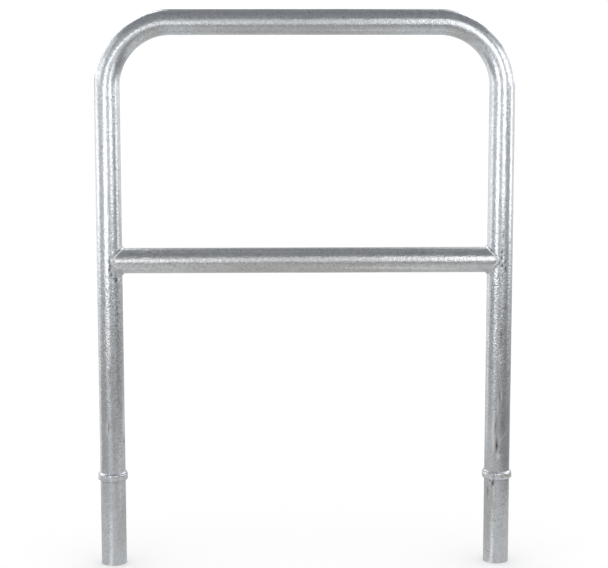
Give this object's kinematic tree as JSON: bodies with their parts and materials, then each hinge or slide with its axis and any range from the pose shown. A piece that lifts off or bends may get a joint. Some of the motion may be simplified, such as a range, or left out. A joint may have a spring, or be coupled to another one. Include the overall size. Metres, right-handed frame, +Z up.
{
  "type": "tube hoop barrier",
  "caption": "Bent galvanised steel tube hoop with a welded cross rail, and a stop ring on each leg above a plain root that drops into a ground socket.",
  "frame": {"origin": "midway between the two legs, on the level of their lower ends", "axes": "+X along the cross rail, +Z up the legs, -Y the front, where the joints of the stop rings are"},
  "size_m": [0.9958, 0.0708, 1.325],
  "materials": {
    "galvanised_tube": "hot-dip galvanised steel tube, semi-bright zinc with fine drag lines",
    "galvanised_bar": "hot-dip galvanised flat bar, zinc-softened edges",
    "galvanised_weld": "weld bead under zinc, rippled and slightly duller"
  },
  "bodies": {
    "root": {"hoop_tube": "galvanised_tube", "cross_rail": "galvanised_tube", "rail_weld_left": "galvanised_weld", "rail_weld_right": "galvanised_weld", "stop_ring_left": "galvanised_bar", "stop_ring_right": "galvanised_bar", "ring_weld_left": "galvanised_weld", "ring_weld_right": "galvanised_weld", "ring_butt_weld_left": "galvanised_weld", "ring_butt_weld_right": "galvanised_weld"}
  },
  "joints": []
}
